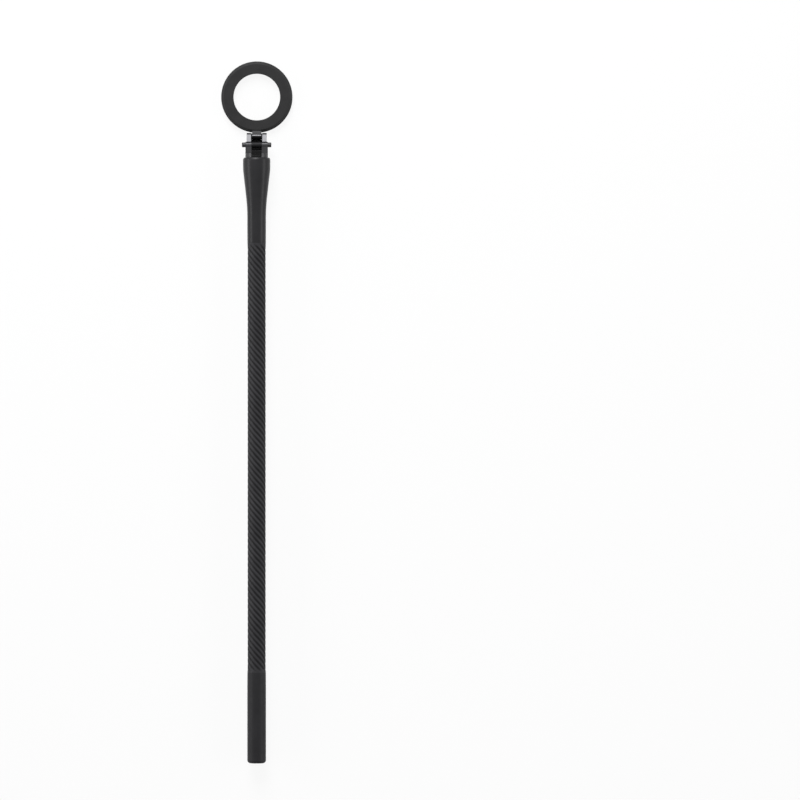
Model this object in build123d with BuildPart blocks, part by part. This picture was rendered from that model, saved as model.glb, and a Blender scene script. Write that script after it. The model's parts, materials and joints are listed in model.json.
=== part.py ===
from build123d import *
from math import acos, cos, degrees, pi, radians, sin, sqrt, tan
import os

# Phone holder: a magnetic ring on a folding head, carried by a long ribbed neck that bends.
# It lies on its phone face. X runs across, Y along the neck towards the ring, Z up. Millimetres.

# Magnetic ring
ring_d = 56.5
ring_band = 9.75
cover_height = 5.0
bevel_width = 2.1
bevel_height = 1.5
outer_wall = 1.6
inner_wall = 1.25
roof = 1.3
pad_thickness = 0.8
pad_margin = 0.4
magnet_count = 16
magnet_gap = 0.6
magnet_clearance = 0.3
magnet_lift = 0.1

# Folding head
lug_width = 7.2
barrel_d = 5.0
rim_gap = 3.2
pin_d = 2.5
link_length = 7.4
link_tilt = 25.0
link_ear = 3.4
ear_start = 1.5
link_thickness = 5.6
link_web = 2.4
web_lip = 0.5
tongue_width = 8.0
tongue_d = 5.0
fork_ear = 4.8
fork_thickness = 4.8
fork_arm = 4.0
fork_base_d = 17.6
fork_base_height = 3.4
fork_rise = 10.2
slot_fall = 6.6
ridge_drop = 1.5
ring_washer = 0.85
washer_d = 4.4
head_d = 3.8
head_length = 2.8
nut_grip = 2.0

# Neck
flare_d = 21.6
flare_top_d = 20.3
flare_shoulder = 1.4
flare_land = 9.4
flare_cone = 30.0
boot_length = 67.6
boot_d = 14.8
stem_d = 10.8
rib_count = 10
rib_lead = 47.5
rows_per_rib = 1.52
sleeve_d = 14.25
sleeve_bore_d = 11.4
flex_length = 340.0
joint_count = 16
bend_total = 225.0
core_size = 7.4
nose_length = 3.0
nose_angle = 30.0
jaw_depth = 1.6
jaw_angle_gap = 4.0

# Tail
tail_length = 72.0
tail_d = 14.8
tip_chamfer = 1.2
tail_skin = 1.5
insert_d = 9.3
insert_length = 12.0
thread_d = 5.2

# Clearances
running_gap = 0.05
fixed_gap = 0.01
washer_gap = 0.05
swing_gap = 0.3
seam = 0.1

# Heights and stations along the neck, from the tail's tip to the ring
axis_z = flare_d / 2
link_reach = link_length * cos(radians(link_tilt))
ring_pin_z = axis_z - link_length * sin(radians(link_tilt))
total_length = tail_length + flex_length + boot_length + fork_rise + link_reach + rim_gap + ring_d
tail_y = -total_length / 2
flex_y = tail_y + tail_length
boot_y = flex_y + flex_length
boot_top_y = boot_y + boot_length
fork_pin_y = boot_top_y + fork_rise
ring_pin_y = fork_pin_y + link_reach
rim_y = ring_pin_y + rim_gap
ring_y = rim_y + ring_d / 2

# Widths across the head
link_gap = lug_width + 2 * (ring_washer + washer_gap)
link_width = link_gap + 2 * link_ear
fork_gap = tongue_width + 2 * washer_gap
fork_width = fork_gap + 2 * fork_ear
link_heel = fork_thickness / 2 + swing_gap
slot_reach = sqrt((tongue_d / 2 + swing_gap) ** 2 - ridge_drop**2)

# Ring channel
eye_d = ring_d - 2 * ring_band
back_face_d = ring_d - 2 * bevel_width
back_z = pad_thickness + cover_height
roof_z = back_z - roof
channel_out = ring_d / 2 - outer_wall
channel_in = eye_d / 2 + inner_wall

# Core of the neck: every other joint swings sideways, and the ones between tilt up and down.
# The neck's whole bend is reached with both kinds at their limits.
joint_pitch = flex_length / joint_count
joint_bend = degrees(2 * acos(sqrt(cos(radians(bend_total / joint_count)))))
cup_angle = nose_angle + joint_bend + jaw_angle_gap
nose_half = nose_length * tan(radians(nose_angle))
cup_half = (jaw_depth + running_gap) * tan(radians(cup_angle))
core_start = flex_y + joint_pitch / 2
core_end = core_start + (joint_count - 1) * joint_pitch
nose_points = ((-nose_half, -nose_length), (nose_half, -nose_length), (0, 0))
cup_points = ((-cup_half, -jaw_depth), (cup_half, -jaw_depth), (0, running_gap))


def core_joint(number):
    """Plane across a core joint's axis, with its local Y along the neck."""
    return Plane(
        origin=(0, core_start + number * joint_pitch, axis_z),
        x_dir=(0, 0, 1) if number % 2 else (1, 0, 0),
        z_dir=(-1, 0, 0) if number % 2 else (0, 0, 1),
    )


# Planes and axes
neck_axis = Axis((0, 0, axis_z), (0, 1, 0))
neck_profile = Plane(origin=(0, 0, axis_z), x_dir=(0, 1, 0), z_dir=(1, 0, 0))
ring_axis = Axis((0, ring_y, 0), (0, 0, 1))
ring_base = Plane(origin=(0, ring_y, 0))
ring_profile = Plane(origin=(0, ring_y, 0), x_dir=(1, 0, 0), z_dir=(0, -1, 0))
link_side = Plane(
    origin=(0, fork_pin_y, axis_z),
    x_dir=(0, cos(radians(link_tilt)), -sin(radians(link_tilt))),
    z_dir=(1, 0, 0),
)

os.makedirs("parts", exist_ok=True)

# Ring cover: bevelled back and a channel open to the phone
with BuildPart() as ring_cover:
    with BuildSketch(ring_profile):
        with BuildLine():
            Polyline(
                (eye_d / 2, pad_thickness),
                (channel_in, pad_thickness),
                (channel_in, roof_z),
                (channel_out, roof_z),
                (channel_out, pad_thickness),
                (ring_d / 2, pad_thickness),
                (ring_d / 2, back_z - bevel_height),
                (back_face_d / 2, back_z),
                (eye_d / 2, back_z),
                close=True,
            )
        make_face()
    revolve(axis=ring_axis)
ring_cover.part.label = "ring_cover"
export_step(ring_cover.part, "parts/ring_cover.step")

# Ring lug: metal knuckle for the ring pin, seated on the cover's rim and bevel
with BuildPart() as ring_lug:
    with BuildSketch(Plane.YZ):
        with Locations((ring_pin_y, ring_pin_z)):
            Circle(barrel_d / 2)
        with BuildLine():
            Polyline(
                (rim_y + outer_wall / 2, back_z - cover_height / 2),
                (rim_y + outer_wall, back_z - roof / 2),
                (rim_y + outer_wall / 2, back_z - roof / 2),
                close=True,
            )
        make_face()
        make_hull()
    extrude(amount=lug_width / 2, both=True)
    add(ring_cover.part, mode=Mode.SUBTRACT)
    with BuildSketch(Plane.YZ):
        with Locations((ring_pin_y, ring_pin_z)):
            Circle(pin_d / 2 + running_gap)
    extrude(amount=lug_width, both=True, mode=Mode.SUBTRACT)
ring_lug.part.label = "ring_lug"
export_step(ring_lug.part, "parts/ring_lug.step")

# Magnets: flat-sided blocks round the channel, held up against its roof
magnet_step = radians(180 / magnet_count)
magnet_out = (channel_out - magnet_clearance) * cos(magnet_step)
magnet_in = channel_in + magnet_clearance
with BuildPart() as ring_magnets:
    with BuildSketch(ring_base.offset(pad_thickness + magnet_lift)):
        with PolarLocations(0, magnet_count):
            Polygon(
                (magnet_in, magnet_in * tan(magnet_step) - magnet_gap / 2),
                (magnet_out, magnet_out * tan(magnet_step) - magnet_gap / 2),
                (magnet_out, magnet_gap / 2 - magnet_out * tan(magnet_step)),
                (magnet_in, magnet_gap / 2 - magnet_in * tan(magnet_step)),
                align=None,
            )
    extrude(amount=roof_z - pad_thickness - magnet_lift)
ring_magnets.part.label = "ring_magnets"
export_step(ring_magnets.part, "parts/ring_magnets.step")

# Pad: the soft face that meets the phone and closes the channel
with BuildPart() as ring_pad:
    with BuildSketch(ring_base):
        Circle(ring_d / 2 - pad_margin)
        Circle(eye_d / 2 + pad_margin, mode=Mode.SUBTRACT)
    extrude(amount=pad_thickness)
ring_pad.part.label = "ring_pad"
export_step(ring_pad.part, "parts/ring_pad.step")

# Link: two ears for the ring pin, hollowed at the heel to clear the fork's bosses, a web at the
# phone side that reaches in under the lug's barrel, and a tongue for the fork bolt
root_end = link_length - barrel_d / 2 - 2 * swing_gap
web_drop = link_thickness / 2 - web_lip
web_end = link_length - sqrt(max(0, (barrel_d / 2 + swing_gap) ** 2 - web_drop**2))


def web_points(start, end, low):
    """Section of the web, which thins towards the ring."""
    return (start, low), (end, low), (end, low + web_lip), (start, low + link_web)


with BuildPart() as hinge_link:
    with BuildSketch(link_side):
        with Locations((link_length, 0)):
            Circle(link_thickness / 2)
        with Locations(((ear_start + link_length) / 2, 0)):
            Rectangle(link_length - ear_start, link_thickness)
        Circle(link_heel, mode=Mode.SUBTRACT)
    extrude(amount=link_width / 2, both=True)
    with BuildSketch(link_side):
        Rectangle(4 * link_length, 2 * link_thickness)
    extrude(amount=link_gap / 2, both=True, mode=Mode.SUBTRACT)
    with BuildSketch(link_side):
        Polygon(*web_points(link_heel, web_end, -link_thickness / 2), align=None)
    extrude(amount=link_width / 2, both=True)
    with BuildSketch(link_side):
        Circle(tongue_d / 2)
        Polygon(*web_points(0, root_end, -tongue_d / 2), align=None)
    extrude(amount=tongue_width / 2, both=True)
    with BuildSketch(link_side):
        Circle(pin_d / 2 + running_gap)
        with Locations((link_length, 0)):
            Circle(pin_d / 2 + fixed_gap)
    extrude(amount=link_width, both=True, mode=Mode.SUBTRACT)
hinge_link.part.label = "hinge_link"
export_step(hinge_link.part, "parts/hinge_link.step")

# Ring pin: pressed into the link's ears, flush at both ends
with BuildPart() as ring_pin:
    with BuildSketch(Plane.YZ):
        with Locations((ring_pin_y, ring_pin_z)):
            Circle(pin_d / 2)
    extrude(amount=link_width / 2, both=True)
ring_pin.part.label = "ring_pin"
export_step(ring_pin.part, "parts/ring_pin.step")

# Ring washers: one on each side of the lug, against the link's ears
with BuildPart() as ring_washers:
    for side in (1, -1):
        with BuildSketch(Plane.YZ.offset(side * (link_gap / 2 - ring_washer))):
            with Locations((ring_pin_y, ring_pin_z)):
                Circle(washer_d / 2)
                Circle(pin_d / 2 + running_gap, mode=Mode.SUBTRACT)
        extrude(amount=side * ring_washer)
ring_washers.part.label = "ring_washers"
export_step(ring_washers.part, "parts/ring_washers.step")

# Fork bolt: a shank through both fork ears, with a round head
with BuildPart() as fork_bolt:
    with BuildSketch(Plane.YZ.offset(-fork_width / 2)):
        with Locations((fork_pin_y, axis_z)):
            Circle(pin_d / 2)
    extrude(amount=fork_width + nut_grip)
    with BuildSketch(Plane.YZ.offset(-fork_width / 2)):
        with Locations((fork_pin_y, axis_z)):
            Circle(head_d / 2)
    extrude(amount=-head_length)
fork_bolt.part.label = "fork_bolt"
export_step(fork_bolt.part, "parts/fork_bolt.step")

# Fork nut: a round cap on the bolt's end
with BuildPart() as fork_nut:
    with BuildSketch(Plane.YZ.offset(fork_width / 2)):
        with Locations((fork_pin_y, axis_z)):
            Circle(head_d / 2)
    extrude(amount=head_length)
    with BuildSketch(Plane.YZ.offset(fork_width / 2)):
        with Locations((fork_pin_y, axis_z)):
            Circle(pin_d / 2 + fixed_gap)
    extrude(amount=nut_grip, mode=Mode.SUBTRACT)
fork_nut.part.label = "fork_nut"
export_step(fork_nut.part, "parts/fork_nut.step")

# Fork: two ears with round bosses on a round base, a slot with a roof-shaped floor, and the stem
# in the boot
slot_half = fork_base_d / 2
with BuildPart() as neck_fork:
    with BuildSketch(neck_profile):
        with BuildLine():
            Polyline(
                (core_end + nose_length, 0),
                (core_end + nose_length, stem_d / 2),
                (boot_top_y, stem_d / 2),
                (boot_top_y, fork_base_d / 2),
                (boot_top_y + fork_base_height, fork_base_d / 2),
                (boot_top_y + fork_base_height, 0),
                close=True,
            )
        make_face()
    revolve(axis=neck_axis)
    with BuildSketch(neck_profile):
        with Locations((fork_pin_y, 0)):
            Circle(fork_thickness / 2)
        with Locations(((boot_top_y + fork_pin_y) / 2, 0)):
            Rectangle(fork_rise, fork_arm)
    extrude(amount=fork_width / 2, both=True)
    with BuildSketch(neck_profile):
        with BuildLine():
            Polyline(
                (fork_pin_y - slot_reach, -ridge_drop),
                (fork_pin_y - slot_reach - slot_fall, slot_half),
                (fork_pin_y + fork_rise, slot_half),
                (fork_pin_y + fork_rise, -slot_half),
                (fork_pin_y - slot_reach - slot_fall, -slot_half),
                close=True,
            )
        make_face()
    extrude(amount=fork_gap / 2, both=True, mode=Mode.SUBTRACT)
    with BuildSketch(neck_profile):
        with Locations((fork_pin_y, 0)):
            Circle(pin_d / 2 + fixed_gap)
    extrude(amount=fork_width, both=True, mode=Mode.SUBTRACT)
    with BuildSketch(core_joint(joint_count - 1)):
        with Locations((0, (nose_length - jaw_depth) / 2)):
            Rectangle(core_size, nose_length + jaw_depth)
        Polygon(*cup_points, align=None, mode=Mode.SUBTRACT)
    extrude(amount=core_size / 2, both=True)
neck_fork.part.label = "neck_fork"
export_step(neck_fork.part, "parts/neck_fork.step")

# Flare boot: soft moulding over the stem, wide under the fork and easing down to the neck
with BuildPart() as flare_boot:
    with BuildSketch(neck_profile):
        with BuildLine():
            Polyline(
                (boot_y, stem_d / 2 + running_gap),
                (boot_y, boot_d / 2),
                (boot_top_y - flare_land - flare_cone, boot_d / 2),
                (boot_top_y - flare_land, flare_d / 2),
                (boot_top_y - flare_shoulder, flare_d / 2),
                (boot_top_y, flare_top_d / 2),
                (boot_top_y, stem_d / 2 + running_gap),
                close=True,
            )
        make_face()
    revolve(axis=neck_axis)
flare_boot.part.label = "flare_boot"
export_step(flare_boot.part, "parts/flare_boot.step")

# Neck sleeve: a soft tube with ribs wound round it, left-handed. The ribs are ridges on a ring
# of corners that turns from row to row, with flat facets folded in between.
sleeve_length = flex_length - seam
row_count = round(sleeve_length / rib_lead * rows_per_rib * rib_count)
row_turn = 2 * pi * sleeve_length / rib_lead / row_count


def ridge_point(row, rib):
    """Corner of the sleeve where a rib's ridge crosses a row."""
    angle = 2 * pi * rib / rib_count - row * row_turn
    y = flex_y + row * sleeve_length / row_count
    return Vector(sleeve_d / 2 * sin(angle), y, axis_z + sleeve_d / 2 * cos(angle))


facets = []
for end_row in (0, row_count):
    facets.append(Face(Wire.make_polygon([ridge_point(end_row, rib) for rib in range(rib_count)])))
for row in range(row_count):
    for rib in range(rib_count):
        low_left = ridge_point(row, rib)
        low_right = ridge_point(row, rib + 1)
        high_left = ridge_point(row + 1, rib)
        high_right = ridge_point(row + 1, rib + 1)
        facets.append(Face(Wire.make_polygon([low_left, low_right, high_left])))
        facets.append(Face(Wire.make_polygon([low_right, high_right, high_left])))

with BuildPart() as neck_sleeve:
    add(Solid(Shell(facets)))
    with BuildSketch(Plane(origin=(0, flex_y, axis_z), x_dir=(1, 0, 0), z_dir=(0, 1, 0))):
        Circle(sleeve_bore_d / 2)
    extrude(amount=sleeve_length, mode=Mode.SUBTRACT)
neck_sleeve.part.label = "neck_sleeve"
export_step(neck_sleeve.part, "parts/neck_sleeve.step")

# Core links: each rocks with its cup on the pointed nose of the link below it
for number in range(1, joint_count):
    with BuildPart() as neck_link:
        with BuildSketch(core_joint(number - 1)):
            with Locations((0, (joint_pitch - nose_length - jaw_depth) / 2)):
                Rectangle(core_size, joint_pitch - nose_length + jaw_depth)
            Polygon(*cup_points, align=None, mode=Mode.SUBTRACT)
        extrude(amount=core_size / 2, both=True)
        with BuildSketch(core_joint(number)):
            Polygon(*nose_points, align=None)
        extrude(amount=core_size / 2, both=True)
    neck_link.part.label = f"neck_link_{number:02d}"
    export_step(neck_link.part, f"parts/neck_link_{number:02d}.step")

# Tail plug: the solid end of the core, with the first nose and a pocket for the insert
with BuildPart() as tail_plug:
    with BuildSketch(neck_profile):
        with BuildLine():
            Polyline(
                (tail_y + tail_skin, insert_d / 2 + fixed_gap),
                (tail_y + tail_skin, stem_d / 2),
                (core_start - nose_length, stem_d / 2),
                (core_start - nose_length, 0),
                (tail_y + insert_length, 0),
                (tail_y + insert_length, insert_d / 2 + fixed_gap),
                close=True,
            )
        make_face()
    revolve(axis=neck_axis)
    with BuildSketch(core_joint(0)):
        Polygon(*nose_points, align=None)
    extrude(amount=core_size / 2, both=True)
tail_plug.part.label = "tail_plug"
export_step(tail_plug.part, "parts/tail_plug.step")

# Tail boot: soft cover over the plug, eased at the tip
with BuildPart() as tail_boot:
    with BuildSketch(neck_profile):
        with BuildLine():
            Polyline(
                (tail_y, insert_d / 2 + fixed_gap),
                (tail_y, tail_d / 2 - tip_chamfer),
                (tail_y + tip_chamfer, tail_d / 2),
                (flex_y, tail_d / 2),
                (flex_y, stem_d / 2 + running_gap),
                (tail_y + tail_skin, stem_d / 2 + running_gap),
                (tail_y + tail_skin, insert_d / 2 + fixed_gap),
                close=True,
            )
        make_face()
    revolve(axis=neck_axis)
tail_boot.part.label = "tail_boot"
export_step(tail_boot.part, "parts/tail_boot.step")

# Tail insert: metal bush with a threaded hole, flush with the tip
with BuildPart() as tail_insert:
    with BuildSketch(neck_profile):
        with BuildLine():
            Polyline(
                (tail_y, thread_d / 2),
                (tail_y, insert_d / 2),
                (tail_y + insert_length, insert_d / 2),
                (tail_y + insert_length, thread_d / 2),
                close=True,
            )
        make_face()
    revolve(axis=neck_axis)
tail_insert.part.label = "tail_insert"
export_step(tail_insert.part, "parts/tail_insert.step")
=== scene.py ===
"""Looks of the phone gooseneck holder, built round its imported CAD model.

The soft neck, the ring and the folding head get their finished surfaces here. Sizes come from the
frame where it has them, and the rest are named below. Lengths are millimetres until a mesh is made.
"""

import json
from math import cos, pi, radians, sin, tan

import bmesh
import bpy
import numpy as np
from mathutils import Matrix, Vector


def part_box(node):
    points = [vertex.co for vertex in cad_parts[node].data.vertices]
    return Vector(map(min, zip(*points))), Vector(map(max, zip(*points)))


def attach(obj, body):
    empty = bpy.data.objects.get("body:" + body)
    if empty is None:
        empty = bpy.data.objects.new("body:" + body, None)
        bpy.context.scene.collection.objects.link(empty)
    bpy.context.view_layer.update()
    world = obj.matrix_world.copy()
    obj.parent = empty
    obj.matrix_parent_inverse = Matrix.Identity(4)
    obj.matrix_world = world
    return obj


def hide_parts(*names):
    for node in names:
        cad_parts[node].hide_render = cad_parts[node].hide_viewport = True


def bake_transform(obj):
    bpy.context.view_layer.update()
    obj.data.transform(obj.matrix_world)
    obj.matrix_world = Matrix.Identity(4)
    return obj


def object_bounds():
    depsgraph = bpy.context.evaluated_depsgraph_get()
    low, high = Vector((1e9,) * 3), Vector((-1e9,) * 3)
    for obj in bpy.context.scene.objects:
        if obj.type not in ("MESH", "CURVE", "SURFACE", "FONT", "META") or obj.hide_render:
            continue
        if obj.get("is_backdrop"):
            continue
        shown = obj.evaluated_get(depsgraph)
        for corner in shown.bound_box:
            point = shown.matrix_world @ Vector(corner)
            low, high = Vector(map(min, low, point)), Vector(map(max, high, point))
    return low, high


MM = 0.001
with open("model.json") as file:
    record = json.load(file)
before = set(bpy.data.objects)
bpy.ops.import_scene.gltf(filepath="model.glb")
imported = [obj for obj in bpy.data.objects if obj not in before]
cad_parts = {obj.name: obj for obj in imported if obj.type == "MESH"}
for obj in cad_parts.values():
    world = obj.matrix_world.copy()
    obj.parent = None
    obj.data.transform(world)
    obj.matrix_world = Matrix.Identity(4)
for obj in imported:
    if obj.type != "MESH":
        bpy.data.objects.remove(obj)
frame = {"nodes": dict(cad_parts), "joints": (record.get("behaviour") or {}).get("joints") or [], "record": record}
cad_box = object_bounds()


# Sizes, from the frame where it has them

def reach(node, axis):
    """Lowest and highest coordinate of a CAD node along X, Y or Z."""
    low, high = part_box(node)
    return low["XYZ".index(axis)] / MM, high["XYZ".index(axis)] / MM


def joint_point(name):
    """Where a joint's axis sits at rest."""
    joint = next(j for j in frame["joints"] if j["name"] == name)
    return Vector(joint["pos_m"]) / MM


tail_y, flex_y = reach("tail_boot", "Y")
boot_y, boot_top_y = reach("flare_boot", "Y")
axis_z = sum(reach("flare_boot", "Z")) / 2
boot_r = reach("tail_boot", "X")[1]
flare_r = reach("flare_boot", "X")[1]
crest_r = reach("neck_sleeve", "X")[1]
ring_r = reach("ring_cover", "X")[1]
ring_y = sum(reach("ring_cover", "Y")) / 2
ring_low, ring_back = reach("ring_cover", "Z")
pad_r = reach("ring_pad", "X")[1]
insert_r = reach("tail_insert", "X")[1]
insert_end = reach("tail_insert", "Y")[1]
bolt_low, bolt_high = reach("fork_bolt", "X")
fork_half, nut_high = reach("fork_nut", "X")
pin_low, pin_high = reach("ring_pin", "X")
fork_pin = joint_point("link_fold")
ring_pin = joint_point("ring_fold")
neck_joints = [joint for joint in frame["joints"] if joint["name"].startswith("neck_")]

# Ribs of the neck. The top and the wall of a rib are shares of half the ribs' pitch.
RIB_COUNT = 10
RIB_LEAD = 47.5
RIB_DEPTH = 0.5
RIB_TOP = 0.28
RIB_WALL = 0.5
RIB_FADE = 4.0
POINTS_PER_RIB = 16
ROWS_PER_SPAN = 22
SLEEVE_BORE_R = 5.7

# Seams between the sleeve and the plain ends, where the plain ends draw in a little
SEAM_STEP = 0.07
SEAM_RUN = 12.0
SEAM_ROUND = 60.0
seam_r = boot_r - SEAM_STEP

# Flare under the fork
FLARE_TOP_R = 10.15
FLARE_SHOULDER = 1.4
FLARE_LAND = 9.4
FLARE_CONE = 30.0
FLARE_FOOT_ROUND = 150.0
FLARE_LAND_ROUND = 40.0
SHOULDER_ROUND = 1.0
FLARE_TOP_ROUND = 0.3
STEM_R = 5.45

# Tail tip and its bush
TIP_ROUND = 2.6
TIP_INSET = 0.05
TIP_LIP_ROUND = 0.15
TIP_SKIN = 1.5
PLUG_R = 5.45
INSERT_FIT = 0.02
RIM_INSET = 0.15
RIM_ROUND = 0.3
RIM_CHAMFER = 0.55
RIM_CHAMFER_ROUND = 0.1
THREAD_R = 2.6
THREAD_PITCH = 1.27
THREAD_DEPTH = 0.35
THREAD_RUNOUT = 1.2
THREAD_STEPS = 8

# Ring
EYE_R = 18.5
EYE_LOW_ROUND = 0.3
EYE_BACK_ROUND = 0.45
RING_LOW_ROUND = 0.4
BEVEL_WIDTH = 2.1
BEVEL_HEIGHT = 1.5
BEVEL_LOW_ROUND = 0.35
BEVEL_BACK_ROUND = 0.5
CHANNEL_IN = 19.75
CHANNEL_OUT = 26.65
ROOF_Z = 4.5
PAD_MARGIN = 0.4
PAD_ROUND = 0.25

# Folding head
BARREL_R = 2.5
BARREL_WIDTH = 7.2
# The painted shade under the barrel ends this far above its pin
BARREL_PAINTED_SHADE_END = 0.3
NECK_SLOPE = 55.0
WASHER_R = 2.45
WASHER_GAP = 0.05
WASHER_ROUND = 0.2
LINK_GAP = 9.0
LINK_EAR_R = 2.8
LINK_HEEL_R = 2.7
TONGUE_R = 2.5
# Share of painted shade on the link's tongue
TONGUE_PAINTED_SHADE = 0.8
FORK_GAP = 8.1
FORK_BOSS_R = 2.4
FORK_SLOT_START = 0.3
KNUCKLE_EASE = 0.25
LINK_EASE = 0.3
FORK_EASE = 0.35
MARK_MARGIN = 0.05

# Pins. The socket's depth is a share of the head's length. Its rim and taper are shares of its reach.
PIN_R = 1.25
PIN_DISH = 0.05
PIN_CROWN = 0.1
PIN_CROWN_R = 0.6 * PIN_R
PIN_CROWN_ROUND = 0.5
PIN_EDGE_ROUND = 0.1
HEAD_R = 1.9
HEAD_EASE = 0.15
HEAD_ROUND = 0.6
SOCKET_R = 0.95
SOCKET_RIM = 1.25
SOCKET_DEPTH = 0.55
SOCKET_TAPER = 0.97
SOCKET_POINT = 0.2
NUT_FIT = 0.02
NUT_END_GAP = 0.05

# How finely round pieces are divided, and the radius below which a ring is one point
RING_SEGMENTS = 160
NECK_SEGMENTS = 128
WASHER_SEGMENTS = 64
PIN_SEGMENTS = 48
POLE_R = 1e-6

# How a copied CAD mesh is cleaned, eased and shaded. Angles are degrees.
WELD_GAP = 0.001
FLAT_ANGLE = 1
SHARP_ANGLE = 30
EASE_SEGMENTS = 3
BARREL_TOLERANCE = 0.05
SIDE_FACING = 0.5
SHORTEST_NORMAL = 1e-30

# Finishes. A painted shade is the share of its own colour that a surface keeps where shade is painted
# into its grooves and hollows. A metal's patches are METAL_PATCH times as wide as its grain.
NOISE_MIDDLE = (0.35, 0.65)
NOISE_REACH = (0.3, 0.7)
SILICONE_TINT = (1, 0.99, 1.07)
SILICONE_DRIFT = 0.12
GROOVE_PAINTED_SHADE = 0.25
HOLLOW_PAINTED_SHADE = 0.15
METAL_PATCH = 4
METAL_ROUGHNESS_DRIFT = 0.06

# Framing of the photograph: 800 pixels across
MM_PER_PIXEL = 0.792
NECK_PIXEL_X = 256.65
RING_PIXEL_Y = 96.7
IMAGE_SIZE = 800
CAMERA_HEIGHT = 6000.0
SENSOR_WIDTH = 36.0
CLIP_END_M = 100.0

# Stage and light, in metres and watts
FLOOR_HALF_M = 30.0
FLOOR_DROP_M = 0.05 * MM
FLOOR_PALE = 0.9
FLOOR_CLEAR_SHARE = 0.9
AMBIENT = 0.12
LAMPS = (
    # name, place, size, watts
    ("key_light", (-0.25, 1.5, 1.2), (0.9, 1.2), 40),
    ("left_light", (-6.0, 0.0, 2.0), (7.0, 2.0), 208),
    ("right_light", (6.0, 0.0, 2.5), (7.0, 2.0), 181),
)
SEEN_RAYS = ("Is Camera Ray", "Is Glossy Ray", "Is Transmission Ray")
FLOOR_CLEAR_RAYS = (*SEEN_RAYS, "Is Shadow Ray")


# Materials

class Surface:
    """A principled material with the few procedural layers that these finishes need."""

    def __init__(self, name, color, roughness, metallic=0.0, specular=0.5):
        self.material = bpy.data.materials.new(name)
        self.material.use_nodes = True
        self.tree = self.material.node_tree
        self.shader = self.tree.nodes["Principled BSDF"]
        self.shader.inputs["Base Color"].default_value = (*color, 1)
        self.shader.inputs["Roughness"].default_value = roughness
        self.shader.inputs["Metallic"].default_value = metallic
        self.shader.inputs["Specular IOR Level"].default_value = specular
        self.place = self.tree.nodes.new("ShaderNodeTexCoord").outputs["Object"]

    def noise(self, scale, detail, stretch=(1, 1, 1)):
        """Noise over the object's own coordinates, which are metres."""
        mapping = self.tree.nodes.new("ShaderNodeMapping")
        mapping.inputs["Scale"].default_value = stretch
        self.tree.links.new(self.place, mapping.inputs["Vector"])
        node = self.tree.nodes.new("ShaderNodeTexNoise")
        node.inputs["Scale"].default_value = scale
        node.inputs["Detail"].default_value = detail
        self.tree.links.new(mapping.outputs["Vector"], node.inputs["Vector"])
        return node.outputs["Fac"]

    def ramp(self, source, low, high):
        """Maps the middle of a noise onto the run between two colours."""
        node = self.tree.nodes.new("ShaderNodeValToRGB")
        for element, position, color in zip(node.color_ramp.elements, NOISE_MIDDLE, (low, high)):
            element.position = position
            element.color = (*color, 1)
        self.tree.links.new(source, node.inputs["Fac"])
        return node.outputs["Color"]

    def spread(self, source, low, high):
        """Maps a noise onto a range of values."""
        node = self.tree.nodes.new("ShaderNodeMapRange")
        node.inputs["From Min"].default_value = NOISE_REACH[0]
        node.inputs["From Max"].default_value = NOISE_REACH[1]
        node.inputs["To Min"].default_value = low
        node.inputs["To Max"].default_value = high
        self.tree.links.new(source, node.inputs["Value"])
        return node.outputs["Result"]

    def marked(self, mark):
        """Share by which the mesh carries a mark, from 0 to 1."""
        node = self.tree.nodes.new("ShaderNodeAttribute")
        node.attribute_name = mark
        return node.outputs["Fac"]

    def mixed(self, source, mark, color, mode):
        """Colour that another one is mixed into where the mesh carries that mark."""
        mix = self.tree.nodes.new("ShaderNodeMixRGB")
        mix.blend_type = mode
        mix.inputs["Color2"].default_value = (*color, 1)
        self.tree.links.new(self.marked(mark), mix.inputs["Fac"])
        self.tree.links.new(source, mix.inputs["Color1"])
        return mix.outputs["Color"]

    def darker(self, source, shade):
        """Colour that keeps only that share of itself where the mesh is marked for painted shade."""
        return self.mixed(source, "painted_shade", grey(shade), "MULTIPLY")

    def rougher(self, source, mark, rough):
        """Roughness that is at least that value where the mesh carries that mark."""
        inside = self.tree.nodes.new("ShaderNodeMath")
        inside.operation = "MULTIPLY"
        inside.inputs[1].default_value = rough
        self.tree.links.new(self.marked(mark), inside.inputs[0])
        higher = self.tree.nodes.new("ShaderNodeMath")
        higher.operation = "MAXIMUM"
        self.tree.links.new(source, higher.inputs[0])
        self.tree.links.new(inside.outputs["Value"], higher.inputs[1])
        return higher.outputs["Value"]

    def color(self, source):
        self.tree.links.new(source, self.shader.inputs["Base Color"])

    def roughness(self, source):
        self.tree.links.new(source, self.shader.inputs["Roughness"])

    def bump(self, source, height):
        """Raises the surface by up to that height, in millimetres."""
        node = self.tree.nodes.new("ShaderNodeBump")
        node.inputs["Strength"].default_value = 1.0
        node.inputs["Distance"].default_value = height * MM
        self.tree.links.new(source, node.inputs["Height"])
        self.tree.links.new(node.outputs["Normal"], self.shader.inputs["Normal"])


def grey(level, more_blue=0.0):
    """Grey of that level, with a trace more blue if asked."""
    return level, level, level + more_blue


def silicone(name, tone, smoothest=0.42, roughest=0.54, specular=0.1):
    """Black silicone with a tone that drifts a little, a faint moulded grain, and painted shade in grooves."""
    low = tuple((1 - SILICONE_DRIFT) * tone * part for part in SILICONE_TINT)
    high = tuple((1 + SILICONE_DRIFT) * tone * part for part in SILICONE_TINT)
    surface = Surface(name, low, roughest, specular=specular)
    tones = surface.ramp(surface.noise(scale=90, detail=5), low, high)
    # Painted shade in the ribbed sleeve's grooves
    surface.color(surface.darker(tones, GROOVE_PAINTED_SHADE))
    surface.roughness(surface.spread(surface.noise(scale=260, detail=4), smoothest, roughest))
    surface.bump(surface.noise(scale=3200, detail=2), height=0.02)
    return surface.material


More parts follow.
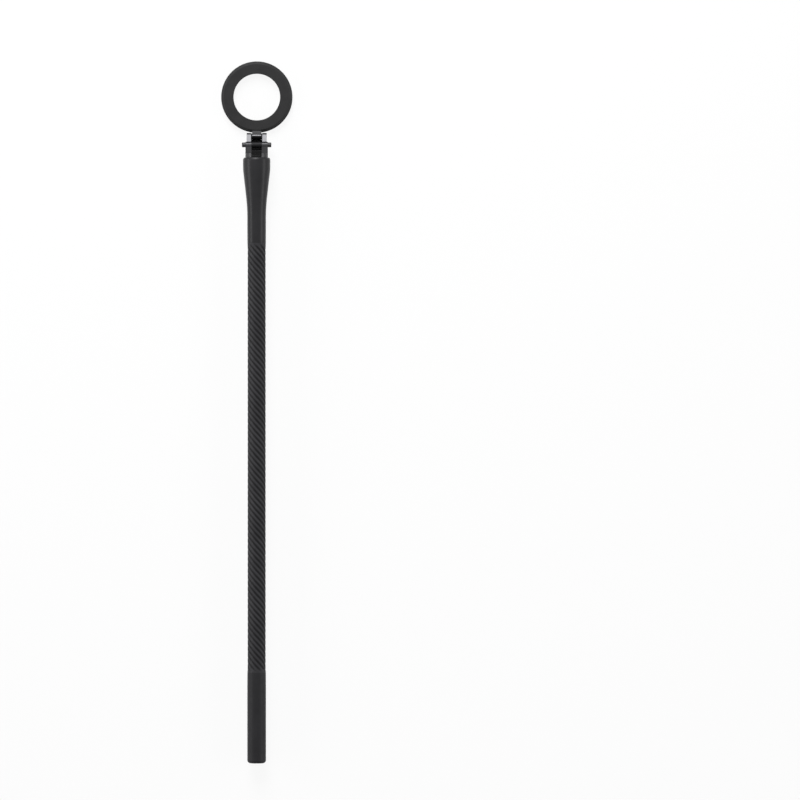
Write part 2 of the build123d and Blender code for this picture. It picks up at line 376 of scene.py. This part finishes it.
def ring_plastic():
    """Satin black plastic with a fine spark-eroded texture."""
    surface = Surface("ring_plastic", grey(0.02, 0.0005), 0.55, specular=0.15)
    tones = surface.noise(scale=140, detail=4)
    surface.color(surface.ramp(tones, grey(0.0162, 0.0005), grey(0.021, 0.0005)))
    surface.roughness(surface.spread(surface.noise(scale=420, detail=4), 0.5, 0.6))
    surface.bump(surface.noise(scale=5200, detail=2), height=0.012)
    return surface.material


def soft_face():
    """Soft matt pad with a close grain."""
    surface = Surface("soft_face", grey(0.017), 0.75, specular=0.3)
    surface.color(surface.ramp(surface.noise(scale=200, detail=5), grey(0.014), grey(0.021)))
    surface.roughness(surface.spread(surface.noise(scale=900, detail=3), 0.68, 0.82))
    surface.bump(surface.noise(scale=2400, detail=3), height=0.04)
    return surface.material


def metal(name, low, high, rough, grain, stretch=(1, 1, 1)):
    """Metal with a tone that drifts a little and a fine grain."""
    surface = Surface(name, low, rough, metallic=1.0)
    surface.color(surface.ramp(surface.noise(scale=120, detail=4), low, high))
    patches = surface.noise(grain / METAL_PATCH, 4, stretch)
    smoothest, roughest = rough - METAL_ROUGHNESS_DRIFT, rough + METAL_ROUGHNESS_DRIFT
    surface.roughness(surface.spread(patches, smoothest, roughest))
    surface.bump(surface.noise(grain, 2, stretch), height=0.01)
    return surface.material


def satin_metal():
    """Dark satin metal with painted shade in hollows, and painted light on the rougher knuckle neck."""
    surface = Surface("satin_metal", grey(0.045, 0.002), 0.24, metallic=1.0)
    tones = surface.noise(scale=120, detail=4)
    bare = surface.ramp(tones, grey(0.041, 0.002), grey(0.048, 0.002))
    # Painted shade on the link's web and tongue and under the knuckle's barrel
    shaded = surface.darker(bare, HOLLOW_PAINTED_SHADE)
    # Painted light: a paler colour on the knuckle's neck
    surface.color(surface.mixed(shaded, "blasted_and_painted_light", grey(0.09, 0.002), "MIX"))
    satin = surface.spread(surface.noise(scale=2600, detail=4), 0.22, 0.26)
    dull = surface.rougher(satin, "painted_shade", 0.65)
    surface.roughness(surface.rougher(dull, "blasted_and_painted_light", 0.8))
    surface.bump(surface.noise(scale=7000, detail=2), height=0.002)
    return surface.material


def black_anodised():
    """Black anodised aluminium with a tone that drifts a little, and painted shade in the slot."""
    surface = Surface("black_anodised", grey(0.035, 0.002), 0.36, metallic=0.55, specular=0.2)
    tones = surface.noise(scale=300, detail=5)
    bare = surface.ramp(tones, grey(0.038, 0.002), grey(0.046, 0.002))
    # Painted shade in the fork's slot
    surface.color(surface.darker(bare, HOLLOW_PAINTED_SHADE))
    surface.roughness(surface.spread(surface.noise(scale=1500, detail=3), 0.3, 0.42))
    surface.bump(surface.noise(scale=6000, detail=2), height=0.008)
    return surface.material


finishes = {
    "silicone": silicone("silicone", 0.022),
    "ring_plastic": ring_plastic(),
    "soft_face": soft_face(),
    "magnet_plate": metal("magnet_plate", (0.55, 0.54, 0.5), (0.63, 0.62, 0.58), 0.22, 2500),
    "satin_metal": satin_metal(),
    "steel": metal("steel", grey(0.5), grey(0.6), 0.28, 2600, (1, 12, 12)),
    "black_steel": metal("black_steel", grey(0.03, 0.001), grey(0.045, 0.001), 0.36, 4200),
    "black_anodised": black_anodised(),
    "core_metal": metal("core_metal", grey(0.5, 0.01), grey(0.58, 0.01), 0.4, 3000, (1, 0.1, 1)),
}
# Lighter copy of the silicone for the ribbed sleeve, which makes up for the painted shade in its grooves
ribbed_silicone = silicone("ribbed_silicone", 0.035)
smooth_silicone = silicone("smooth_silicone", 0.0195, smoothest=0.28, roughest=0.36, specular=0.14)

for subpart in frame["record"]["subparts"]:
    node = frame["nodes"][subpart["node"]]
    node.data.materials.clear()
    node.data.materials.append(finishes[subpart["material_slot"]])


# Outlines and rings of points

def rounded(corners, steps=5):
    """Closed outline with round corners. Each corner is (u, v, radius), and radius 0 stays sharp."""
    outline = []
    for index, (u, v, radius) in enumerate(corners):
        corner = Vector((u, v))
        if not radius:
            outline.append((u, v))
            continue
        before = (Vector(corners[index - 1][:2]) - corner).normalized()
        after = (Vector(corners[(index + 1) % len(corners)][:2]) - corner).normalized()
        half = before.angle(after) / 2
        centre = corner + (before + after).normalized() * radius / sin(half)
        first = corner + before * radius / tan(half) - centre
        last = corner + after * radius / tan(half) - centre
        for step in range(steps + 1):
            outline.append(tuple(centre + first.lerp(last, step / steps).normalized() * radius))
    return outline


def band(ring, after):
    """Faces between two rings with the same number of points."""
    count = len(ring)
    faces = []
    for k in range(count):
        n = (k + 1) % count
        faces.append((ring[k], ring[n], after[n], after[k]))
    return faces


def last_ring(points, count):
    """Numbers of the ring of points that was added last."""
    return range(len(points) - count, len(points))


def lathe(profile, place, segments, closed=True):
    """Points and faces of a profile of (along, radius) turned about an axis.

    place(along, radius, angle) says where a point goes. A radius of 0 makes a pole.
    """
    points, rings, faces = [], [], []
    for along, radius in profile:
        if radius < POLE_R:
            rings.append([len(points)] * segments)
            points.append(place(along, 0, 0))
        else:
            points += [place(along, radius, 2 * pi * k / segments) for k in range(segments)]
            rings.append(last_ring(points, segments))
    following = rings[1:] + rings[:1] if closed else rings[1:]
    for ring, after in zip(rings, following):
        for corners in band(ring, after):
            distinct = list(dict.fromkeys(corners))
            if len(distinct) > 2:
                faces.append(distinct)
    return points, faces


def about_neck(along, radius, angle):
    return radius * sin(angle), along, axis_z + radius * cos(angle)


def about_ring(along, radius, angle):
    return radius * cos(angle), ring_y + radius * sin(angle), along


def about_pin(pin):
    """Placing function for a turned piece on a cross pin."""
    def place(along, radius, angle):
        return along, pin.y + radius * cos(angle), pin.z + radius * sin(angle)
    return place


# Meshes and pieces

def corner_normals(mesh):
    """Shading directions in which large faces keep their own and small rounds blend."""
    normals = np.zeros((len(mesh.vertices), 3))
    for face in mesh.polygons:
        normals[list(face.vertices)] += np.array(face.normal) * face.area
    normals /= np.maximum(np.linalg.norm(normals, axis=1, keepdims=True), SHORTEST_NORMAL)
    return np.concatenate([normals[list(face.vertices)] for face in mesh.polygons])


def round_barrel(mesh, directions, pin, radius):
    """Turns the shading of the faces that lie on a barrel about a pin into a true round."""
    places = np.array([vertex.co for vertex in mesh.vertices]) / MM
    spokes = (places - pin) * [0, 1, 1]
    lengths = np.linalg.norm(spokes, axis=1)
    on_barrel = np.abs(lengths - radius) < BARREL_TOLERANCE
    for face in mesh.polygons:
        corners = list(face.vertices)
        if on_barrel[corners].all() and abs(face.normal.x) < SIDE_FACING:
            rounds = spokes[corners] / lengths[corners, None]
            outwards = np.sign(rounds.mean(0) @ np.array(face.normal))
            directions[face.loop_start:face.loop_start + face.loop_total] = outwards * rounds


def smooth(mesh, barrels=()):
    """Smooth shading. Each barrel is a pin and a radius, and is shaded as a true round."""
    directions = corner_normals(mesh)
    for pin, radius in barrels:
        round_barrel(mesh, directions, pin, radius)
    mesh.shade_smooth()
    mesh.normals_split_custom_set(directions.tolist())


def make_piece(name, mesh, node, slot, material=None):
    """Object of a mesh that stands for a CAD node, in its slot's finish or a variant of it."""
    mesh.materials.clear()
    mesh.materials.append(material or finishes[slot])
    piece = bpy.data.objects.new(name, mesh)
    bpy.context.scene.collection.objects.link(piece)
    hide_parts(node)
    return piece


def mesh_of(name, points, faces):
    """Mesh in metres with its faces turned outwards."""
    mesh = bpy.data.meshes.new(name)
    mesh.from_pydata([Vector(p) * MM for p in points], [], faces)
    work = bmesh.new()
    work.from_mesh(mesh)
    bmesh.ops.recalc_face_normals(work, faces=work.faces)
    work.to_mesh(mesh)
    work.free()
    return mesh


def shaped(name, points, faces, node, slot, body, material=None):
    """Smooth piece that rides on a body and stands for a CAD node."""
    mesh = mesh_of(name, points, faces)
    smooth(mesh)
    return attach(make_piece(name, mesh, node, slot, material), body)


def turned(name, profile, place, node, slot, body, segments, closed=True, material=None):
    """Turned piece that rides on a body and stands for a CAD node."""
    points, faces = lathe(profile, place, segments, closed)
    return shaped(name, points, faces, node, slot, body, material)


def mark_faces(mesh, mark, share_at):
    """Marks each face by the share that share_at gives for its middle, in millimetres."""
    shares = []
    for face in mesh.polygons:
        shares += [float(share_at(face.center / MM))] * face.loop_total
    mesh.attributes.new(mark, "FLOAT", "CORNER").data.foreach_set("value", shares)


def ease_edges(work, ease):
    """Merges a CAD mesh's facets into whole faces and rounds its sharp edges."""
    bmesh.ops.remove_doubles(work, verts=work.verts, dist=WELD_GAP * MM)
    flat = radians(FLAT_ANGLE)
    bmesh.ops.dissolve_limit(work, angle_limit=flat, verts=work.verts, edges=work.edges)
    sharp = []
    for edge in work.edges:
        if len(edge.link_faces) == 2 and edge.calc_face_angle() > radians(SHARP_ANGLE):
            sharp.append(edge)
    bmesh.ops.bevel(
        work,
        geom=sharp,
        offset=ease * MM,
        segments=EASE_SEGMENTS,
        profile=0.5,
        affect="EDGES",
        clamp_overlap=True,
    )


def part_faces(work, x):
    """Parts the faces that run across a plane of constant x."""
    everything = [*work.verts, *work.edges, *work.faces]
    bmesh.ops.bisect_plane(work, geom=everything, plane_co=(x * MM, 0, 0), plane_no=(1, 0, 0))


def eased_copy(name, node, ease, slot, body, painted_shade_at, barrels, part_at=()):
    """Copy of a CAD node with its sharp edges rounded by ease and its faces marked for painted shade.

    Faces that run on across the places in part_at are parted there.
    """
    work = bmesh.new()
    work.from_mesh(frame["nodes"][node].data)
    ease_edges(work, ease)
    for x in part_at:
        part_faces(work, x)
    bmesh.ops.recalc_face_normals(work, faces=work.faces)
    mesh = bpy.data.meshes.new(name)
    work.to_mesh(mesh)
    work.free()
    smooth(mesh, barrels)
    # Marks the faces that get painted shade
    mark_faces(mesh, "painted_shade", painted_shade_at)
    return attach(make_piece(name, mesh, node, slot), body)


# Neck

def ease_in(distance, length):
    """0 at the start and 1 after that length, with a smooth run between."""
    share = np.clip(distance / length, 0, 1)
    return share * share * (3 - 2 * share)


def sleeve_grid():
    """Points, normals and groove share of the ribbed sleeve, by row and by turn along the ribs."""
    rows = len(neck_joints) * ROWS_PER_SPAN
    turns = RIB_COUNT * POINTS_PER_RIB
    along = np.linspace(flex_y, boot_y, rows + 1)[:, None]
    turn = np.arange(turns)[None, :] / turns
    angle = 2 * pi * (turn - (along - flex_y) / RIB_LEAD)
    fade = ease_in(np.minimum(along - flex_y, boot_y - along), RIB_FADE)
    groove = fade * ease_in(np.abs(2 * (turn * RIB_COUNT % 1) - 1) - RIB_TOP, RIB_WALL)
    radius = seam_r + fade * (crest_r - seam_r) - RIB_DEPTH * groove
    x = radius * np.sin(angle)
    y = np.broadcast_to(along, angle.shape)
    z = axis_z + radius * np.cos(angle)
    points = np.stack([x, y, z], -1)
    round_step = np.roll(points, -1, 1) - np.roll(points, 1, 1)
    row_step = np.gradient(points, axis=0)
    normals = np.cross(round_step, row_step)
    return points, normals / np.linalg.norm(normals, axis=-1, keepdims=True), groove


def sleeve_span(number, points, normals, groove):
    """One stretch of the sleeve: the ribbed outside, the plain bore and two end faces."""
    rows, turns = points.shape[:2]
    ends = points[[0, -1]]
    spokes = (ends - [0, 0, axis_z]) * [1, 0, 1]
    spokes /= np.linalg.norm(spokes, axis=-1, keepdims=True)
    bore = ends * [0, 1, 0] + [0, 0, axis_z] + spokes * SLEEVE_BORE_R
    corners = np.concatenate([points.reshape(-1, 3), bore.reshape(-1, 3)])
    directions = np.concatenate([normals.reshape(-1, 3), -spokes.reshape(-1, 3)])
    rings = np.arange(len(corners)).reshape(-1, turns).tolist()
    bore_first, bore_last = rows, rows + 1
    around = [*range(rows), bore_last, bore_first, 0]
    faces = []
    for ring, after in zip(around, around[1:]):
        faces += band(rings[ring], rings[after])
    name = f"sleeve_span_{number:02d}"
    mesh = mesh_of(name, corners, faces)
    mesh.shade_smooth()
    mesh.normals_split_custom_set_from_vertices(directions.tolist())
    # Groove shares mark where shade is painted; the bore and end faces get none
    shares = np.concatenate([groove.ravel(), np.zeros(2 * turns)])
    mesh.attributes.new("painted_shade", "FLOAT", "POINT").data.foreach_set("value", shares)
    return make_piece(name, mesh, "neck_sleeve", "silicone", ribbed_silicone)


def make_sleeve():
    """Sleeve in one span for each neck joint."""
    points, normals, groove = sleeve_grid()
    for index, joint in enumerate(neck_joints):
        first, last = index * ROWS_PER_SPAN, (index + 1) * ROWS_PER_SPAN
        rows = slice(first, last + 1)
        span = sleeve_span(index + 1, points[rows], normals[rows], groove[rows])
        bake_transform(span)


def make_flare():
    """Flared boot, plain and a little smoother than the rest of the neck."""
    profile = rounded(
        [
            (boot_y, STEM_R, 0),
            (boot_y, seam_r, 0),
            (boot_y + SEAM_RUN, boot_r, SEAM_ROUND),
            (boot_top_y - FLARE_LAND - FLARE_CONE, boot_r, FLARE_FOOT_ROUND),
            (boot_top_y - FLARE_LAND, flare_r, FLARE_LAND_ROUND),
            (boot_top_y - FLARE_SHOULDER, flare_r, SHOULDER_ROUND),
            (boot_top_y, FLARE_TOP_R, FLARE_TOP_ROUND),
            (boot_top_y, STEM_R, 0),
        ],
        steps=8,
    )
    turned(
        "flare_skin", profile, about_neck, "flare_boot", "silicone", "head", NECK_SEGMENTS,
        material=smooth_silicone,
    )


def make_tail():
    """Plain tail with a rounded tip."""
    profile = rounded(
        [
            (tail_y + TIP_INSET, insert_r + INSERT_FIT, TIP_LIP_ROUND),
            (tail_y + TIP_INSET, boot_r, TIP_ROUND),
            (flex_y - SEAM_RUN, boot_r, SEAM_ROUND),
            (flex_y, seam_r, 0),
            (flex_y, PLUG_R, 0),
            (tail_y + TIP_SKIN, PLUG_R, 0),
            (tail_y + TIP_SKIN, insert_r + INSERT_FIT, 0),
        ],
        steps=8,
    )
    turned("tail_skin", profile, about_neck, "tail_boot", "silicone", "tail", NECK_SEGMENTS)


def make_thread_bush():
    """Bush in the tail's tip: a chamfered rim, and a thread cut in its hole."""
    rim = rounded(
        [
            (insert_end, THREAD_R, 0),
            (insert_end, insert_r, RIM_ROUND),
            (tail_y + RIM_INSET, insert_r, RIM_ROUND),
            (tail_y + RIM_INSET, THREAD_R + RIM_CHAMFER, RIM_CHAMFER_ROUND),
            (tail_y + RIM_CHAMFER, THREAD_R, 0),
        ],
        steps=3,
    )
    points, faces = lathe(rim, about_neck, PIN_SEGMENTS, closed=False)
    ring = last_ring(points, PIN_SEGMENTS)
    turns = (insert_end - tail_y - THREAD_RUNOUT) / THREAD_PITCH
    for step in range(1, int(turns * THREAD_STEPS)):
        along = tail_y + RIM_CHAMFER + step * THREAD_PITCH / THREAD_STEPS
        for k in range(PIN_SEGMENTS):
            phase = (step / THREAD_STEPS + k / PIN_SEGMENTS) % 1
            radius = THREAD_R + THREAD_DEPTH * abs(2 * phase - 1)
            points.append(about_neck(along, radius, 2 * pi * k / PIN_SEGMENTS))
        after = last_ring(points, PIN_SEGMENTS)
        faces += band(ring, after)
        ring = after
    first_ring = range(PIN_SEGMENTS)
    faces += band(ring, first_ring)
    shaped("thread_bush", points, faces, "tail_insert", "steel", "tail")


make_sleeve()
make_flare()
make_tail()
make_thread_bush()


# Ring

def make_ring_shell():
    """Ring with a bevelled back and an open channel towards the pad."""
    profile = rounded(
        [
            (ring_low, EYE_R, EYE_LOW_ROUND),
            (ring_low, CHANNEL_IN, 0),
            (ROOF_Z, CHANNEL_IN, 0),
            (ROOF_Z, CHANNEL_OUT, 0),
            (ring_low, CHANNEL_OUT, 0),
            (ring_low, ring_r, RING_LOW_ROUND),
            (ring_back - BEVEL_HEIGHT, ring_r, BEVEL_LOW_ROUND),
            (ring_back, ring_r - BEVEL_WIDTH, BEVEL_BACK_ROUND),
            (ring_back, EYE_R, EYE_BACK_ROUND),
        ],
    )
    turned("ring_shell", profile, about_ring, "ring_cover", "ring_plastic", "ring", RING_SEGMENTS)


def make_ring_face():
    """Soft pad that closes the channel and meets the phone."""
    profile = rounded(
        [
            (0.0, EYE_R + PAD_MARGIN, PAD_ROUND),
            (0.0, pad_r, PAD_ROUND),
            (ring_low, pad_r, 0),
            (ring_low, EYE_R + PAD_MARGIN, 0),
        ],
    )
    turned("ring_face", profile, about_ring, "ring_pad", "soft_face", "ring", RING_SEGMENTS)


make_ring_shell()
make_ring_face()


# Folding head

def between_link_ears(point):
    """Full painted shade over the web, and a lighter one on the tongue."""
    if abs(point.x) > LINK_GAP / 2 + MARK_MARGIN:
        return 0
    return TONGUE_PAINTED_SHADE if point.y < fork_pin.y + TONGUE_R else 1


def under_barrel(point):
    """Painted shade on the half of the ring's barrel that is turned to the fork, and a little more."""
    return point.y < ring_pin.y + BARREL_PAINTED_SHADE_END


def on_knuckle_neck(point):
    """The slope from the barrel down to the ring, which gets painted light."""
    return point.y > ring_pin.y + BARREL_R * sin(radians(NECK_SLOPE)) - MARK_MARGIN


def in_fork_slot(point):
    """The slot's sides and floor, which start a little above the flare and get painted shade."""
    across = abs(point.x) < FORK_GAP / 2 + MARK_MARGIN
    return across and point.y > boot_top_y + FORK_SLOT_START


def make_knuckle():
    """Knuckle on the ring, with painted shade under its barrel and painted light on a rougher neck."""
    rounds = [(ring_pin, BARREL_R)]
    knuckle = eased_copy(
        "ring_knuckle", "ring_lug", KNUCKLE_EASE, "satin_metal", "ring", under_barrel, rounds
    )
    # Rougher finish and painted light on the knuckle's neck
    mark_faces(knuckle.data, "blasted_and_painted_light", on_knuckle_neck)


def make_link():
    """Link with two bright ears, and painted shade on its web and tongue."""
    rounds = [(ring_pin, LINK_EAR_R), (fork_pin, TONGUE_R), (fork_pin, LINK_HEEL_R)]
    eased_copy(
        "link_body", "hinge_link", LINK_EASE, "satin_metal", "hinge", between_link_ears, rounds
    )


def make_fork():
    """Fork with painted shade in its slot, and the faces that run on across the slot parted at its sides."""
    rounds = [(fork_pin, FORK_BOSS_R)]
    eased_copy(
        "fork_body", "neck_fork", FORK_EASE, "black_anodised", "head", in_fork_slot, rounds,
        part_at=(-FORK_GAP / 2, FORK_GAP / 2),
    )


def make_washer(name, side):
    """Friction washer between the knuckle and one of the link's ears."""
    inner, outer = side * (BARREL_WIDTH / 2 + WASHER_GAP), side * LINK_GAP / 2
    bore_r = PIN_R + WASHER_GAP
    profile = rounded(
        [
            (inner, bore_r, 0),
            (inner, WASHER_R, WASHER_ROUND),
            (outer, WASHER_R, WASHER_ROUND),
            (outer, bore_r, 0),
        ],
    )
    place = about_pin(ring_pin)
    turned(name, profile, place, "ring_washers", "ring_plastic", "hinge", WASHER_SEGMENTS)


def hexagon_r(angle):
    """Reach of the hexagon socket at an angle from the middle of one of its flats."""
    return SOCKET_R * cos(pi / 6) / cos((angle + pi / 6) % (pi / 3) - pi / 6)


def make_bolt():
    """Fork bolt: a domed head with a hexagon socket, and a shank that runs on inside."""
    place = about_pin(fork_pin)
    head_start = -fork_half
    socket_end = bolt_low + SOCKET_DEPTH * (head_start - bolt_low)
    dome = rounded(
        [
            (bolt_high, 0, 0),
            (bolt_high, PIN_R, 0),
            (head_start, PIN_R, 0),
            (head_start, HEAD_R, HEAD_EASE),
            (bolt_low, HEAD_R, HEAD_ROUND),
            (bolt_low, SOCKET_R * SOCKET_RIM, 0),
        ],
        steps=4,
    )
    points, faces = lathe(dome, place, PIN_SEGMENTS, closed=False)
    ring = last_ring(points, PIN_SEGMENTS)
    for along, share in ((bolt_low, 1.0), (socket_end, SOCKET_TAPER)):
        for k in range(PIN_SEGMENTS):
            angle = 2 * pi * k / PIN_SEGMENTS
            points.append(place(along, share * hexagon_r(angle), angle))
        after = last_ring(points, PIN_SEGMENTS)
        faces += band(ring, after)
        ring = after
    tip = len(points)
    points.append(place(socket_end + SOCKET_POINT, 0, 0))
    for k in range(PIN_SEGMENTS):
        faces.append((ring[k], ring[(k + 1) % PIN_SEGMENTS], tip))
    shaped("bolt", points, faces, "fork_bolt", "black_steel", "head")


def make_nut():
    """Round nut with a domed end."""
    inside = bolt_high + NUT_END_GAP
    profile = rounded(
        [
            (fork_half, PIN_R + NUT_FIT, 0),
            (fork_half, HEAD_R, HEAD_EASE),
            (nut_high, HEAD_R, HEAD_ROUND),
            (nut_high, 0, 0),
            (inside, 0, 0),
            (inside, PIN_R + NUT_FIT, 0),
        ],
    )
    turned("nut_cap", profile, about_pin(fork_pin), "fork_nut", "black_steel", "head", PIN_SEGMENTS)


def make_ring_pin():
    """Plain pin with slightly domed ends."""
    profile = rounded(
        [
            (pin_low + PIN_DISH, 0, 0),
            (pin_low - PIN_CROWN, PIN_CROWN_R, PIN_CROWN_ROUND),
            (pin_low + PIN_CROWN, PIN_R, PIN_EDGE_ROUND),
            (pin_high - PIN_CROWN, PIN_R, PIN_EDGE_ROUND),
            (pin_high + PIN_CROWN, PIN_CROWN_R, PIN_CROWN_ROUND),
            (pin_high - PIN_DISH, 0, 0),
        ],
    )
    place = about_pin(ring_pin)
    turned("fold_pin", profile, place, "ring_pin", "steel", "hinge", PIN_SEGMENTS, closed=False)


make_knuckle()
make_link()
make_fork()
make_washer("washer_left", -1)
make_washer("washer_right", 1)
make_bolt()
make_nut()
make_ring_pin()


# Stage, light and camera

def show_to_rays(tree, plain, shown, share, output, rays):
    """Sends a share of one shader to those kinds of ray, and the plain shader to the others."""
    light_path = tree.nodes.new("ShaderNodeLightPath")
    seen = light_path.outputs[rays[0]]
    for name in rays[1:]:
        higher = tree.nodes.new("ShaderNodeMath")
        higher.operation = "MAXIMUM"
        tree.links.new(seen, higher.inputs[0])
        tree.links.new(light_path.outputs[name], higher.inputs[1])
        seen = higher.outputs["Value"]
    scaled = tree.nodes.new("ShaderNodeMath")
    scaled.operation = "MULTIPLY"
    scaled.inputs[1].default_value = share
    tree.links.new(seen, scaled.inputs[0])
    mix = tree.nodes.new("ShaderNodeMixShader")
    tree.links.new(scaled.outputs["Value"], mix.inputs["Fac"])
    tree.links.new(plain, mix.inputs[1])
    tree.links.new(shown, mix.inputs[2])
    tree.links.new(mix.outputs["Shader"], output)


def floor_material():
    """Pale matt floor. The white surround shows through most of it, and so does what folds down
    below it, while the rest keeps the soft shadow."""
    material = bpy.data.materials.new("floor")
    material.use_nodes = True
    tree = material.node_tree
    pale = tree.nodes["Principled BSDF"]
    pale.inputs["Base Color"].default_value = (*grey(FLOOR_PALE), 1)
    pale.inputs["Roughness"].default_value = 0.9
    pale.inputs["Specular IOR Level"].default_value = 0.1
    clear = tree.nodes.new("ShaderNodeBsdfTransparent").outputs["BSDF"]
    output = tree.nodes["Material Output"].inputs["Surface"]
    show_to_rays(tree, pale.outputs["BSDF"], clear, FLOOR_CLEAR_SHARE, output, FLOOR_CLEAR_RAYS)
    return material


def make_floor():
    """Wide floor just under the part."""
    mesh = bpy.data.meshes.new("floor")
    corners = []
    for x, y in ((-1, -1), (1, -1), (1, 1), (-1, 1)):
        corners.append((x * FLOOR_HALF_M, y * FLOOR_HALF_M, -FLOOR_DROP_M))
    mesh.from_pydata(corners, [], [(0, 1, 2, 3)])
    mesh.materials.append(floor_material())
    floor = bpy.data.objects.new("floor", mesh)
    bpy.context.scene.collection.objects.link(floor)
    floor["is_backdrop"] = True


def make_world():
    """Even white surround, dimmer for light than for what is seen of it."""
    world = bpy.data.worlds.new("studio")
    bpy.context.scene.world = world
    world.use_nodes = True
    tree = world.node_tree
    dim = tree.nodes["Background"]
    dim.inputs["Color"].default_value = (1, 1, 1, 1)
    dim.inputs["Strength"].default_value = AMBIENT
    white = tree.nodes.new("ShaderNodeBackground")
    white.inputs["Color"].default_value = (1, 1, 1, 1)
    white.inputs["Strength"].default_value = 1.0
    output = tree.nodes["World Output"].inputs["Surface"]
    show_to_rays(tree, dim.outputs["Background"], white.outputs["Background"], 1.0, output, SEEN_RAYS)


def make_softbox(name, place, size, watts):
    """Rectangular soft light that is turned to the part and isn't seen by the camera."""
    light = bpy.data.lights.new(name, "AREA")
    light.shape = "RECTANGLE"
    light.size, light.size_y = size
    light.energy = watts
    lamp = bpy.data.objects.new(name, light)
    lamp.location = place
    lamp.rotation_euler = (-Vector(place)).to_track_quat("-Z", "Y").to_euler()
    lamp.visible_camera = False
    bpy.context.scene.collection.objects.link(lamp)


def make_camera():
    """Camera straight above the photograph's middle, with a long lens, as the photo has no depth."""
    centre_x = (IMAGE_SIZE / 2 - NECK_PIXEL_X) * MM_PER_PIXEL
    centre_y = ring_y - (IMAGE_SIZE / 2 - RING_PIXEL_Y) * MM_PER_PIXEL
    camera = bpy.data.cameras.new("camera")
    camera.sensor_width = SENSOR_WIDTH
    camera.lens = SENSOR_WIDTH * CAMERA_HEIGHT / (IMAGE_SIZE * MM_PER_PIXEL)
    camera.clip_end = CLIP_END_M
    holder = bpy.data.objects.new("camera", camera)
    holder.location = (centre_x * MM, centre_y * MM, (axis_z + CAMERA_HEIGHT) * MM)
    bpy.context.scene.collection.objects.link(holder)
    bpy.context.scene.camera = holder


make_floor()
make_world()
for lamp in LAMPS:
    make_softbox(*lamp)
make_camera()
bpy.context.scene.view_settings.view_transform = "Standard"

boxes = {"cad": cad_box, "visual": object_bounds()}
{name: [list(corner) for corner in box] for name, box in boxes.items()}
